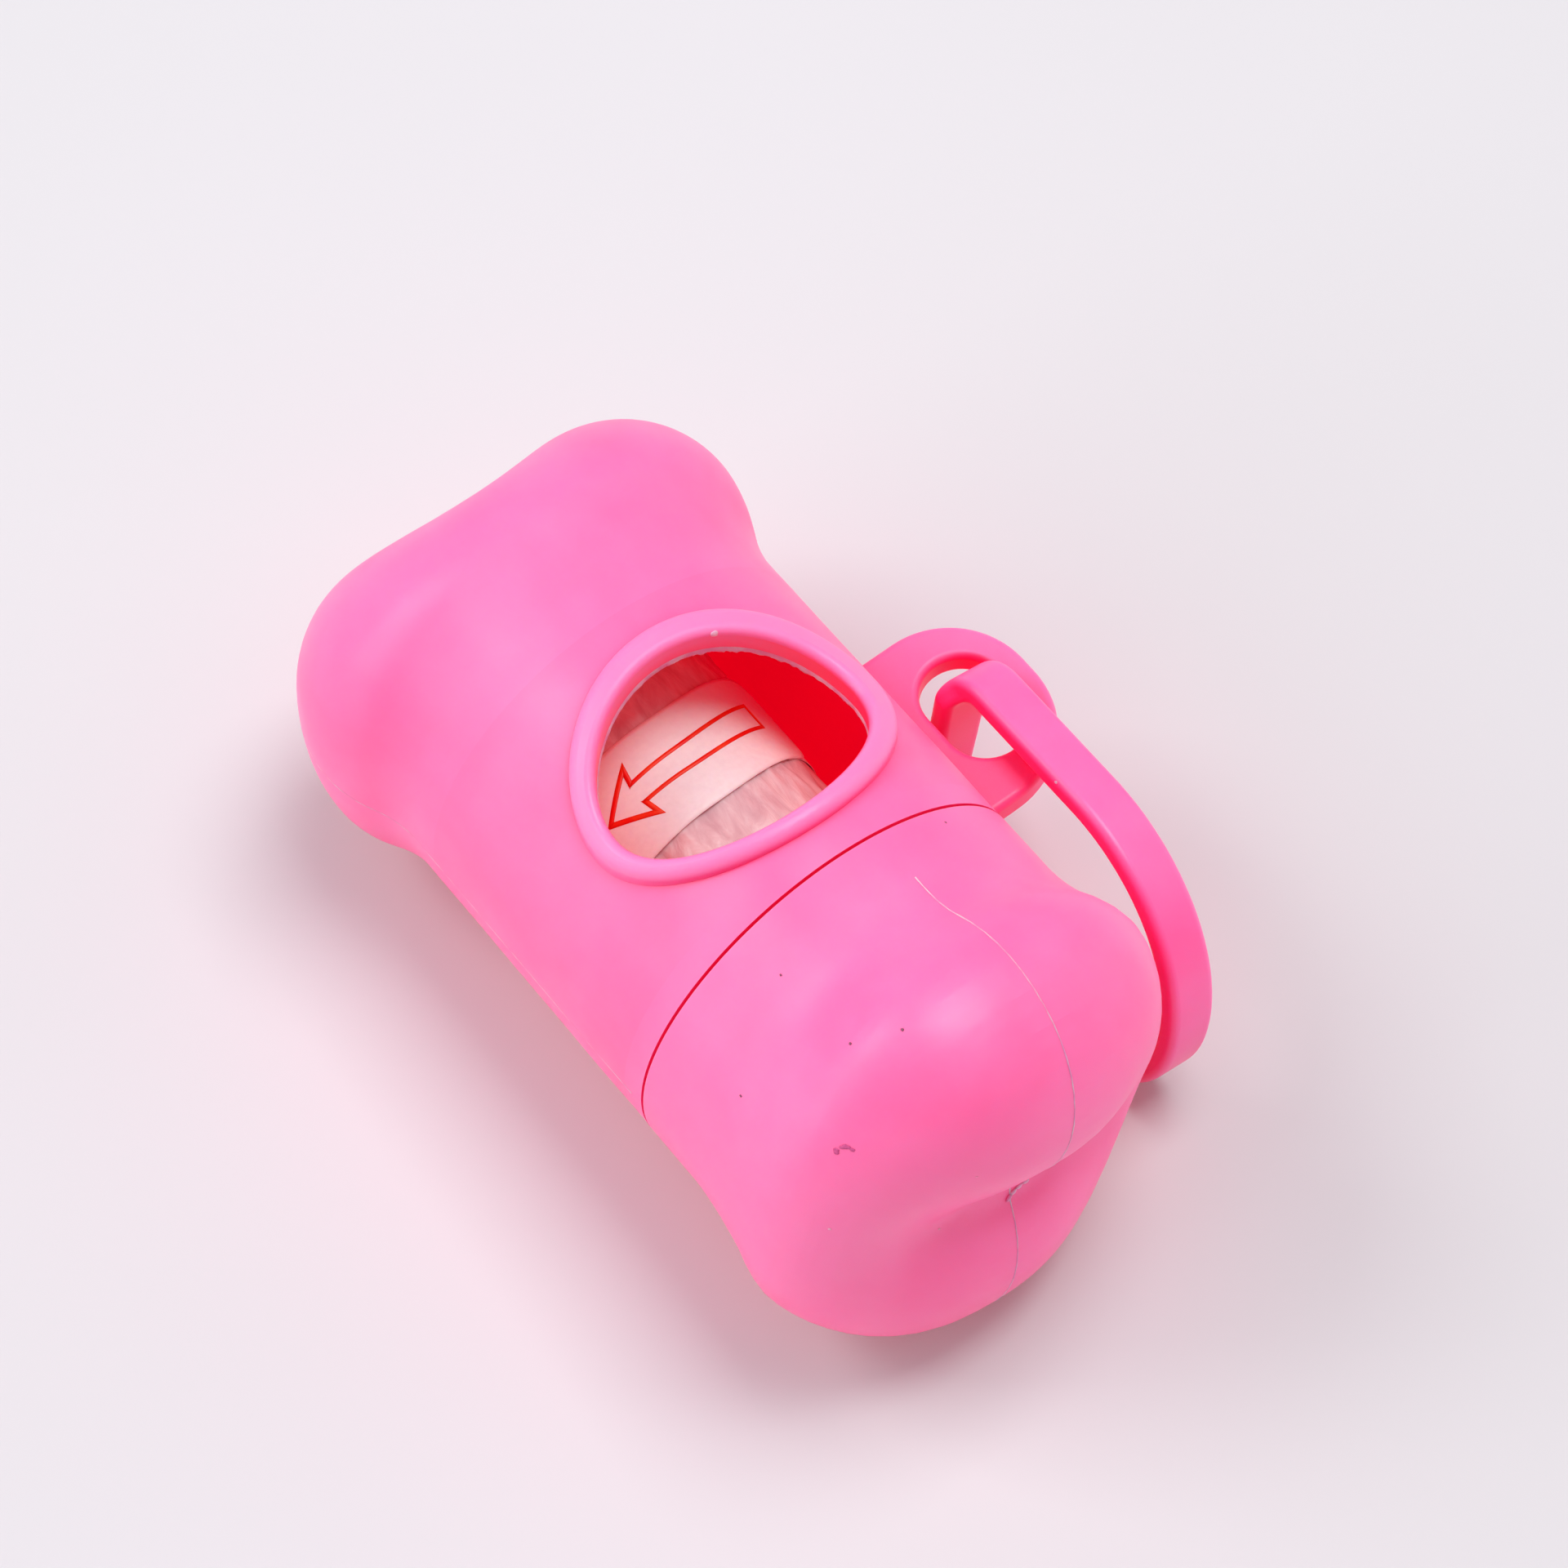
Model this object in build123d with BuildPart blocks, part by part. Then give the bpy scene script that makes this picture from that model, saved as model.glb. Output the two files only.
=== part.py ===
from build123d import *
from math import atan2, cos, pi, radians, sin, sqrt
import os

os.makedirs("parts", exist_ok=True)

# Lengths are in millimetres and angles in degrees.
# The origin is the middle of the seam between holder and cap, on the axis of the bone.
# +X runs to the cap, +Y to the eyelet tab, +Z up through the window.

# Bone shape shared by both ends
barrel_radius = 20.0
wall = 1.6
bone_width = 45.0
lobe_rise = 0.3
lobe_fullness = 2.5
crease_softness = 0.10

# Holder end
shell_length = 55.6
shell_lobe_radius = 12.6
shell_neck_radius = 11.0
shell_valley_radius = 2.4
shell_edge_radius = 9.5
shell_crease_dip = 1.0

# Cap end
cap_length = 28.4
cap_lobe_radius = 12.1
cap_neck_radius = 8.6
cap_valley_radius = 4.2
cap_edge_radius = 9.0
cap_crease_dip = 0.4
cap_rest_turn = 75.0
seam_gap = 0.3

# Neck and thread that close the cap
cap_skirt = 1.95
neck_wall = 1.3
neck_length = 10.0
shoulder = 1.8
thread_lead = 4.0
thread_height = 0.7
thread_base = 1.7
thread_tip = 0.9
thread_root = 0.3
thread_clearance = 0.35
neck_thread_start = 2.3
neck_thread_turns = 1.5
cap_thread_turns = 1.25

# Window in the top of the barrel and the bead round it
window_x = -13.65
window_y = 1.15
window_half_width = 12.4
window_far_reach = 10.4
window_near_reach = 8.45
rim_width = 2.35
rim_shift_x = -0.4
rim_shift_y = 0.4
rim_height = 1.4
rim_outer_round = 1.1
rim_inner_round = 0.7

# Flat tab with its oval eyelet
tab_far_x = -22.0
tab_near_x = -2.9
tab_length = 12.5
tab_thickness = 2.8
tab_far_round = 8.2
tab_near_round = 9.2
tab_edge_round = 0.7
eyelet_x = -12.45
eyelet_standoff = 5.9
eyelet_width = 7.6
eyelet_length = 10.8

# Carry strap, a flat band on a leaning plane through the eyelet
strap_width = 4.9
strap_thickness = 2.2
strap_corner = 0.8
strap_lean = 12.0
strap_pass_x = -14.3
strap_offset = 0.6
strap_top = 4.1
strap_pass_top = 1.0
strap_shoulder_x = 2.0
strap_end_x = 19.1
strap_end_level = -12.5
strap_end_in_x = 12.1
strap_bottom = -21.4
strap_lap_end_x = -3.5
strap_tip_x = 7.5
strap_far_bend = 9.0
strap_lap_gap = 0.3
button_x = 2.0
button_radius = 1.4
button_clearance = 0.15
button_head_radius = 2.3
button_head_height = 1.2
button_head_round = 0.5

# Refill: tube, part-used wound bags and paper band, lying low in the neck
core_radius = 5.0
core_wall = 0.8
roll_length = 58.0
roll_used_up = 3.7
roll_end_gap = 1.9
roll_rest_gap = 0.4
roll_end_round = 0.4
band_thickness = 0.15
band_width = 10.2
band_x = -20.5

# How finely the bone skin is sampled along its plan and side outlines, and round a quarter
barrel_steps = 6
neck_steps = 8
lobe_steps = 24
corner_steps = 16
valley_steps = 6
round_steps = 16

lobe_half_height = barrel_radius + lobe_rise
cap_bore_radius = barrel_radius - cap_skirt
neck_radius = cap_bore_radius - thread_clearance - thread_height
neck_bore_radius = neck_radius - neck_wall
cap_thread_depth = neck_length + 2 * seam_gap
tab_reach = barrel_radius + tab_length
eyelet_y = barrel_radius + eyelet_standoff
strap_pass_y = eyelet_y + strap_offset
roll_radius = neck_bore_radius - roll_used_up - band_thickness
roll_z = -(neck_bore_radius - roll_rest_gap - roll_radius - band_thickness)
cap_thread_start = neck_thread_start - (thread_lead - thread_base) / 2
rim_reach = window_y + rim_shift_y + window_half_width + rim_width
rim_foot = sqrt((barrel_radius - wall) ** 2 - rim_reach**2) - wall
reach = 2 * (shell_length + cap_length)


def between(start, end, share):
    return start + (end - start) * share


def eased(share):
    """Share held between 0 and 1, with a smooth start and end."""
    share = min(max(share, 0), 1)
    return share**2 * (3 - 2 * share)


def arc_points(centre, radius, start, end, steps):
    """Points along an arc, without its last one."""
    turns = [between(start, end, i / steps) for i in range(steps)]
    return [(centre[0] + radius * cos(t), centre[1] + radius * sin(t)) for t in turns]


def line_points(start, end, steps):
    """Points along a line, without its last one."""
    return [
        (between(start[0], end[0], i / steps), between(start[1], end[1], i / steps))
        for i in range(steps)
    ]


def valley_place(length, lobe, valley):
    """How far from the seam the round valley between the two lobes has its centre."""
    return length - lobe + sqrt((valley + lobe) ** 2 - (bone_width / 2 - lobe) ** 2)


def bone_outlines(length, lobe, neck, valley, edge, dip, inset):
    """Half of the plan outline and of the side outline of one end, point for point."""
    barrel = barrel_radius - inset
    lobe_y = bone_width / 2 - lobe
    lobe_x = length - lobe
    neck_y = barrel_radius + neck
    neck_x = lobe_x - sqrt((neck + lobe) ** 2 - (neck_y - lobe_y) ** 2)
    valley_x = valley_place(length, lobe, valley)
    to_lobe = atan2(lobe_y - neck_y, lobe_x - neck_x)
    to_neck = atan2(neck_y - lobe_y, neck_x - lobe_x)
    to_valley = atan2(-lobe_y, valley_x - lobe_x)
    from_valley = atan2(lobe_y, lobe_x - valley_x)
    pole_x = valley_x - valley - inset
    plan = line_points((0, barrel), (neck_x, barrel), barrel_steps)
    plan += arc_points((neck_x, neck_y), neck + inset, -pi / 2, to_lobe, neck_steps)
    plan += arc_points((lobe_x, lobe_y), lobe - inset, to_neck, to_valley, lobe_steps)
    plan += arc_points((valley_x, 0), valley + inset, from_valley, pi, valley_steps)
    plan.append((pole_x, 0))
    crease_x = pole_x - dip
    height = lobe_half_height - inset
    corner = edge - inset
    flat_part = lobe_steps + valley_steps - corner_steps
    side = line_points((0, barrel), (neck_x, barrel), barrel_steps)
    side += line_points((neck_x, barrel), (crease_x - edge, height), neck_steps)
    side += arc_points((crease_x - corner, height - corner), corner, pi / 2, 0, corner_steps)
    side += line_points((crease_x, height - corner), (pole_x, 0), flat_part)
    side.append((pole_x, 0))
    return plan, side, neck_x


def bone_skin(direction, mouth, length, lobe, neck, valley, edge, dip, inset):
    """Closed solid of one end of the bone, from its mouth to its creased end."""
    plan, side, neck_x = bone_outlines(length, lobe, neck, valley, edge, dip, inset)
    neck_length = length - lobe - neck_x
    soft_end = sqrt(1 + crease_softness**2) - crease_softness
    quarters = []
    for y_side, z_side in ((1, 1), (-1, 1), (-1, -1), (1, -1)):
        rows = []
        for (plan_x, plan_y), (side_x, side_z) in zip(plan, side):
            fullness = between(2, lobe_fullness, eased((plan_x - neck_x) / neck_length))
            points = []
            for step in range(round_steps + 1):
                turn = pi / 2 * step / round_steps
                across = cos(turn) if step < round_steps else 0.0
                soft = (sqrt(across**2 + crease_softness**2) - crease_softness) / soft_end
                along = between(side_x, plan_x, soft)
                x = direction * (mouth + along * (length - mouth) / length)
                y = y_side * plan_y * across ** (2 / fullness)
                z = z_side * side_z * sin(turn) ** (2 / fullness)
                points.append(Vector(x, y, z))
            rows.append(points)
        quarters.append(Face.make_surface_from_array_of_points(rows))
    rim = [
        edge
        for quarter in quarters
        for edge in quarter.edges()
        if edge.bounding_box().size.X < seam_gap / 2 and edge.length > barrel_radius
    ]
    return Solid(Shell(quarters + [Face(Wire(rim))]))


shell_shape = (shell_length, shell_lobe_radius, shell_neck_radius)
shell_shape += (shell_valley_radius, shell_edge_radius, shell_crease_dip)
cap_shape = (cap_length, cap_lobe_radius, cap_neck_radius)
cap_shape += (cap_valley_radius, cap_edge_radius, cap_crease_dip)
shell_end_depth = valley_place(shell_length, shell_lobe_radius, shell_valley_radius)
shell_end_depth -= shell_valley_radius + shell_crease_dip + wall
roll_far_x = roll_end_gap - shell_end_depth


def thread_ridge(start_x, turns, radius, outward):
    """One helical ridge about X, its foot sunk into the wall that carries it."""
    with BuildPart() as ridge:
        with BuildLine() as course:
            Helix(thread_lead, thread_lead * turns, radius, center=(start_x, 0, 0), direction=(1, 0, 0))
        begin = course.line @ 0
        ahead = course.line % 0
        radial = Vector(0, begin.Y, begin.Z).normalized() * outward
        with BuildSketch(Plane(origin=begin, x_dir=radial, z_dir=ahead)):
            with BuildLine():
                Polyline(
                    (-thread_root, -thread_base / 2),
                    (thread_height, -thread_tip / 2),
                    (thread_height, thread_tip / 2),
                    (-thread_root, thread_base / 2),
                    close=True,
                )
            make_face()
        sweep(is_frenet=True)
    return ridge.part


def window_outline(extra, shift_x, shift_y):
    """Egg outline of the window, longer away from the cap, grown by extra all round and shifted."""
    centre = (window_x + shift_x, window_y + shift_y)
    across = window_half_width + extra
    with BuildSketch() as outline:
        with BuildLine():
            EllipticalCenterArc(centre, window_near_reach + extra, across, -90, arc_size=180)
            EllipticalCenterArc(centre, window_far_reach + extra, across, 90, arc_size=180)
        make_face()
    return outline.sketch


window_rim_outline = window_outline(rim_width, rim_shift_x, rim_shift_y)
window_cut_outline = window_outline(0, 0, 0)


# Hollow of the holder, up to the shoulder that carries the neck
with BuildPart() as shell_hollow:
    add(bone_skin(-1, 0, *shell_shape, wall))
    split(bisect_by=Plane.YZ.offset(-shoulder), keep=Keep.BOTTOM)

# Bead round the window, as high above the barrel all the way round and wider on its far side
with BuildPart() as window_rim:
    with BuildSketch(Plane.XY.offset(rim_foot)):
        add(window_rim_outline)
    extrude(amount=reach)
    with BuildSketch(Plane.YZ):
        Circle(barrel_radius + rim_height)
    extrude(amount=reach, both=True, mode=Mode.INTERSECT)
    with BuildSketch(Plane.XY):
        add(window_cut_outline)
    extrude(amount=reach, mode=Mode.SUBTRACT)
    crest = window_rim.faces().sort_by(Axis.Z)[-1]
    fillet(crest.outer_wire().edges(), rim_outer_round)
    crest = window_rim.faces().sort_by(Axis.Z)[-1]
    fillet(crest.inner_wires()[0].edges(), rim_inner_round)

# Tab in the parting plane of the bone, rounded over its two free corners and its rim
with BuildPart() as eyelet_tab:
    with BuildSketch(Plane.XY.offset(-tab_thickness / 2)) as tab_outline:
        with Locations(((tab_far_x + tab_near_x) / 2, tab_reach)):
            Rectangle(tab_near_x - tab_far_x, tab_length + wall, align=(Align.CENTER, Align.MAX))
        fillet(tab_outline.vertices().group_by(Axis.Y)[-1].sort_by(Axis.X)[0], tab_far_round)
        fillet(tab_outline.vertices().group_by(Axis.X)[-1].sort_by(Axis.Y)[-1], tab_near_round)
        with Locations((eyelet_x, eyelet_y)):
            SlotOverall(eyelet_length, eyelet_width, mode=Mode.SUBTRACT)
    extrude(amount=tab_thickness)
    flat_edges = eyelet_tab.faces().filter_by(Plane.XY).edges()
    root_edges = flat_edges.group_by(Axis.Y)[0]
    fillet([edge for edge in flat_edges if edge not in root_edges], tab_edge_round)

with BuildPart() as body_shell:
    add(bone_skin(-1, seam_gap / 2, *shell_shape, 0))
    add(eyelet_tab.part)
    add(window_rim.part)
    with BuildSketch(Plane.YZ.offset(-shoulder)):
        Circle(neck_radius)
    extrude(amount=shoulder + neck_length)
    add(thread_ridge(neck_thread_start, neck_thread_turns, neck_radius, 1))
    add(shell_hollow.part, mode=Mode.SUBTRACT)
    with BuildSketch(Plane.YZ.offset(-shoulder - wall)):
        Circle(neck_bore_radius)
    extrude(amount=shoulder + wall + neck_length, mode=Mode.SUBTRACT)
    with BuildSketch(Plane.XY):
        add(window_cut_outline)
    extrude(amount=reach, mode=Mode.SUBTRACT)
body_shell.part.label = "body_shell"
export_step(body_shell.part, "parts/body_shell.step")

# Hollow of the cap, past the threaded bore
with BuildPart() as cap_hollow:
    add(bone_skin(1, 0, *cap_shape, wall))
    Box(cap_thread_depth * 2, bone_width, bone_width, mode=Mode.SUBTRACT)
    with BuildSketch(Plane.YZ):
        Circle(cap_bore_radius)
    extrude(amount=cap_thread_depth)

with BuildPart() as end_cap:
    add(bone_skin(1, seam_gap / 2, *cap_shape, 0))
    add(cap_hollow.part, mode=Mode.SUBTRACT)
    add(thread_ridge(cap_thread_start, cap_thread_turns, cap_bore_radius, -1))
end_cap.part = end_cap.part.rotate(Axis.X, cap_rest_turn)
end_cap.part.label = "end_cap"
export_step(end_cap.part, "parts/end_cap.step")

# Strap: from its tip back under the tab, up through the eyelet, over, down and back under itself
strap_plane = Plane(
    origin=(0, strap_pass_y, 0),
    x_dir=(1, 0, 0),
    z_dir=(0, -cos(radians(strap_lean)), sin(radians(strap_lean))),
)
strap_lap_level = strap_bottom + strap_thickness + strap_lap_gap
strap_bend = strap_top - strap_pass_top
strap_far_x = strap_pass_x + strap_far_bend
strap_far_level = strap_lap_level + strap_far_bend
button_plane = Plane(
    origin=strap_plane.from_local_coords((button_x, strap_bottom, 0)),
    x_dir=(1, 0, 0),
    z_dir=strap_plane.y_dir,
)
button_hole_foot = (strap_thickness + strap_lap_gap) / 2
button_head_foot = 1.5 * strap_thickness + 2 * strap_lap_gap
with BuildPart() as carry_strap:
    with BuildLine(strap_plane) as strap_course:
        Line((strap_tip_x, strap_lap_level), (strap_far_x, strap_lap_level))
        CenterArc((strap_far_x, strap_far_level), strap_far_bend, 270, -90)
        Line((strap_pass_x, strap_far_level), (strap_pass_x, strap_pass_top))
        CenterArc((strap_pass_x + strap_bend, strap_pass_top), strap_bend, 180, -90)
        Line((strap_pass_x + strap_bend, strap_top), (strap_shoulder_x, strap_top))
        EllipticalCenterArc(
            (strap_shoulder_x, strap_end_level),
            strap_end_x - strap_shoulder_x,
            strap_top - strap_end_level,
            90,
            arc_size=-90,
        )
        EllipticalCenterArc(
            (strap_end_in_x, strap_end_level),
            strap_end_x - strap_end_in_x,
            strap_end_level - strap_bottom,
            0,
            arc_size=-90,
        )
        Line((strap_end_in_x, strap_bottom), (strap_lap_end_x, strap_bottom))
    course = strap_course.wires()[0]
    with BuildSketch(Plane(origin=course @ 0, x_dir=strap_plane.z_dir, z_dir=course % 0)):
        RectangleRounded(strap_width, strap_thickness, strap_corner)
    sweep(path=course)
    with BuildSketch(button_plane.offset(button_hole_foot)):
        Circle(button_radius + button_clearance)
    extrude(amount=button_head_foot - button_hole_foot, mode=Mode.SUBTRACT)
    with BuildSketch(button_plane):
        Circle(button_radius)
    extrude(amount=button_head_foot)
    with BuildSketch(button_plane.offset(button_head_foot)):
        Circle(button_head_radius)
    extrude(amount=button_head_height)
    crown = button_plane.offset(button_head_foot + button_head_height).origin
    fillet(carry_strap.edges().filter_by(GeomType.CIRCLE).sort_by_distance(crown)[0], button_head_round)
carry_strap.part.label = "carry_strap"
export_step(carry_strap.part, "parts/carry_strap.step")

# Refill roll: tube, bags and paper band, each one round the next
refill_plane = Plane(origin=(0, 0, roll_z), x_dir=(0, 1, 0), z_dir=(1, 0, 0))
with BuildPart() as roll_core:
    with BuildSketch(refill_plane.offset(roll_far_x)):
        Circle(core_radius)
        Circle(core_radius - core_wall, mode=Mode.SUBTRACT)
    extrude(amount=roll_length)
roll_core.part.label = "roll_core"
export_step(roll_core.part, "parts/roll_core.step")

with BuildPart() as bag_roll:
    with BuildSketch(refill_plane.offset(roll_far_x)):
        Circle(roll_radius)
        Circle(core_radius, mode=Mode.SUBTRACT)
    extrude(amount=roll_length)
    fillet(bag_roll.edges().group_by(SortBy.LENGTH)[-1], roll_end_round)
bag_roll.part.label = "bag_roll"
export_step(bag_roll.part, "parts/bag_roll.step")

with BuildPart() as roll_band:
    with BuildSketch(refill_plane.offset(band_x - band_width / 2)):
        Circle(roll_radius + band_thickness)
        Circle(roll_radius, mode=Mode.SUBTRACT)
    extrude(amount=band_width)
roll_band.part.label = "roll_band"
export_step(roll_band.part, "parts/roll_band.step")
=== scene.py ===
import math
import bmesh
import bpy
from mathutils import Matrix, Vector, noise
from mathutils.bvhtree import BVHTree


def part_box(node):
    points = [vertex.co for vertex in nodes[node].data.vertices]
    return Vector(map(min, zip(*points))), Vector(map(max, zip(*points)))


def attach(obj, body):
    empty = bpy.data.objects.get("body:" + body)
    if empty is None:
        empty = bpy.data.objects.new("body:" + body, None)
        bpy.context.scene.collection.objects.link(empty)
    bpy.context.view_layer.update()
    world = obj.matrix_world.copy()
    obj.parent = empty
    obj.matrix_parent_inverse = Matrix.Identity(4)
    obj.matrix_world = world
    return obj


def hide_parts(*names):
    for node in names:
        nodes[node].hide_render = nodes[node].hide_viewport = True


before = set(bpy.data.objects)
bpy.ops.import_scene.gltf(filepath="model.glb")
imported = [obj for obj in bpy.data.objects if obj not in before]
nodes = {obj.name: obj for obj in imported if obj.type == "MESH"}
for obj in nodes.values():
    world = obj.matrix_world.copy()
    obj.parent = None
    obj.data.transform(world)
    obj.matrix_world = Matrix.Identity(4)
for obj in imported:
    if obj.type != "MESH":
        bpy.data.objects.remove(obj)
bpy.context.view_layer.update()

mm = 0.001


def hexColour(code):
    parts = [int(code[i:i + 2], 16) / 255 for i in (1, 3, 5)]
    return [c / 12.92 if c <= 0.04045 else ((c + 0.055) / 1.055) ** 2.4 for c in parts] + [1.0]


def repeatOf(sizeMm):
    return 1 / (sizeMm * mm)  # texture scale that gives features of this size


def mix(a, b, share):
    return a + (b - a) * share


def smooth(share):
    share = min(1, max(0, share))
    return share * share * (3 - 2 * share)


def newMaterial(name):
    material = bpy.data.materials.new(name)
    material.use_nodes = True
    material.node_tree.nodes.clear()
    return material


def addNode(material, kind, settings=None, values=None, links=None, stops=()):
    tree = material.node_tree
    node = tree.nodes.new(kind)
    for key, value in (settings or {}).items():
        setattr(node, key, value)
    for key, value in (values or {}).items():
        node.inputs[key].default_value = value
    for key, output in (links or {}).items():
        tree.links.new(output, node.inputs[key])
    for i, (place, code) in enumerate(stops):  # colours along a ramp
        point = node.color_ramp.elements[i] if i < 2 else node.color_ramp.elements.new(place)
        point.position = place
        point.color = hexColour(code)
    return node


def makePiece(name, verts, faces, body, material):
    mesh = bpy.data.meshes.new(name)
    mesh.from_pydata([tuple(v) for v in verts], [], faces)
    mesh.validate()
    mesh.materials.append(material)
    mesh.polygons.foreach_set("use_smooth", [True] * len(mesh.polygons))
    piece = bpy.data.objects.new(name, mesh)
    bpy.context.scene.collection.objects.link(piece)
    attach(piece, body)
    return piece


def paint(node, material):
    node.data.materials.clear()
    node.data.materials.append(material)


# camera, as the photograph was taken

shot = {
    "framePx": 1920,
    "focalPx": 5800,
    "place": (147.6, -109.6, 361.1),  # mm
    "aim": (-13.5, 5.8, 8.1),
    "roll": -2.51,  # degrees
}


def makeCamera():
    data = bpy.data.cameras.new("photoCamera")
    data.sensor_width = 36
    data.lens = shot["focalPx"] / shot["framePx"] * data.sensor_width
    data.clip_start = 0.01
    data.clip_end = 20
    camera = bpy.data.objects.new("photoCamera", data)
    bpy.context.scene.collection.objects.link(camera)
    place = Vector(shot["place"]) * mm
    look = Vector(shot["aim"]) * mm - place
    facing = look.to_track_quat("-Z", "Y").to_matrix()
    facing = facing @ Matrix.Rotation(math.radians(shot["roll"]), 3, "Z")
    camera.matrix_world = Matrix.Translation(place) @ facing.to_4x4()
    bpy.context.scene.camera = camera
    return camera


camera = makeCamera()


def rayThrough(px, py):
    half = shot["framePx"] / 2
    way = Vector(((px - half) / shot["focalPx"], (half - py) / shot["focalPx"], -1))
    return camera.matrix_world.translation.copy(), (camera.matrix_world.to_3x3() @ way).normalized()


def treeOf(node):
    corners = [v.co for v in node.data.vertices]
    return BVHTree.FromPolygons(corners, [p.vertices for p in node.data.polygons])


skins = {name: treeOf(nodes[name]) for name in ("body_shell", "end_cap", "carry_strap")}


def spotOn(name, px, py):
    place, way = rayThrough(px, py)
    hit, normal = skins[name].ray_cast(place, way)[:2]
    if hit is None:
        return None, None
    return hit, normal if normal.dot(way) < 0 else -normal


# materials

pink = {
    "base": "#ff80c2",
    "pale": "#ff88c8",
    "deep": "#ff78bb",
    "hollowShade": "#e61a64",  # painted shade: the same plastic inside, coloured deep red where only red light reaches
    "nookShade": "#f21a72",  # painted shade: a deeper red pink in corners, under things and close to the table, where ambient occlusion finds little open sky
    "nookShadeReach": 18,  # mm
    "nookShadeOpen": 0.96,  # share of open sky above which nothing deepens
    "nookShadeShut": 0.3,
    "nookShadeMost": 0.95,
    "facingStart": -0.15,  # how far a face looks inwards where the painted shade inside starts
    "facingFull": -0.6,
    "bead": "#ff90cf",  # painted highlight: paler pink on the crest of the rim round the window
    "beadLow": 20.3,  # mm from the axis
    "beadHigh": 21.3,
    "beadFloor": 10,  # mm up, so that only the top of the barrel takes it
    "glow": (1.0, 0.3, 0.45),
    "glowDepth": 1.2,  # mm
    "paintedGlow": "#ff0028",  # painted glow: red emission that stands in for light coming through the translucent wall
    "paintedGlowOutside": 0.26,
    "paintedGlowInside": 0.31,
    "paintedGlowNook": 0.1,
    "outerRadius": 20.1,  # mm, where the painted shade starts to redden the cut edge of the window
    "innerRadius": 18.2,
    "cloud": 16,  # mm
    "grain": 0.45,  # mm, coarser than the real 0.1 mm so that it shows
    "ripple": 7,  # mm
    "roughBelow": 0.05,  # how far the roughness wanders each way
    "roughAbove": 0.06,
}


def axisDistance(material, texture):
    place = addNode(material, "ShaderNodeSeparateXYZ", links={"Vector": texture.outputs["Object"]})
    spoke = addNode(material, "ShaderNodeCombineXYZ",
                    links={"Y": place.outputs["Y"], "Z": place.outputs["Z"]})
    radius = addNode(material, "ShaderNodeVectorMath", {"operation": "LENGTH"},
                     links={0: spoke.outputs["Vector"]})
    return place, spoke, radius


def hollowShadeShare(material, texture, hollowShadeRange, cutRange):
    # share of painted shade: 1 on faces that look at the axis of the bone, and down the cut edge of the
    # window
    place, spoke, radius = axisDistance(material, texture)
    outward = addNode(material, "ShaderNodeVectorMath", {"operation": "NORMALIZE"},
                      links={0: spoke.outputs["Vector"]})
    facing = addNode(material, "ShaderNodeVectorMath", {"operation": "DOT_PRODUCT"},
                     links={0: outward.outputs["Vector"], 1: texture.outputs["Normal"]})
    inward = addNode(material, "ShaderNodeMapRange",
                     values={"From Min": pink["facingStart"], "From Max": pink["facingFull"]},
                     links={"Value": facing.outputs["Value"]})
    deep = addNode(material, "ShaderNodeMapRange",
                   values={"From Min": pink["outerRadius"] * mm, "From Max": pink["innerRadius"] * mm},
                   links={"Value": radius.outputs["Value"]})
    shares = []
    for share, (low, high) in ((inward, hollowShadeRange), (deep, cutRange or (0, 0))):
        above = addNode(material, "ShaderNodeMath", {"operation": "GREATER_THAN"},
                        {1: low * mm}, {0: place.outputs["X"]})
        below = addNode(material, "ShaderNodeMath", {"operation": "LESS_THAN"},
                        {1: high * mm}, {0: place.outputs["X"]})
        inRange = addNode(material, "ShaderNodeMath", {"operation": "MULTIPLY"},
                          links={0: above.outputs["Value"], 1: below.outputs["Value"]})
        part = addNode(material, "ShaderNodeMath", {"operation": "MULTIPLY"},
                       links={0: share.outputs["Result"], 1: inRange.outputs["Value"]})
        shares.append(part.outputs["Value"])
    return addNode(material, "ShaderNodeMath", {"operation": "MAXIMUM"}, links={0: shares[0], 1: shares[1]})


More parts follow.
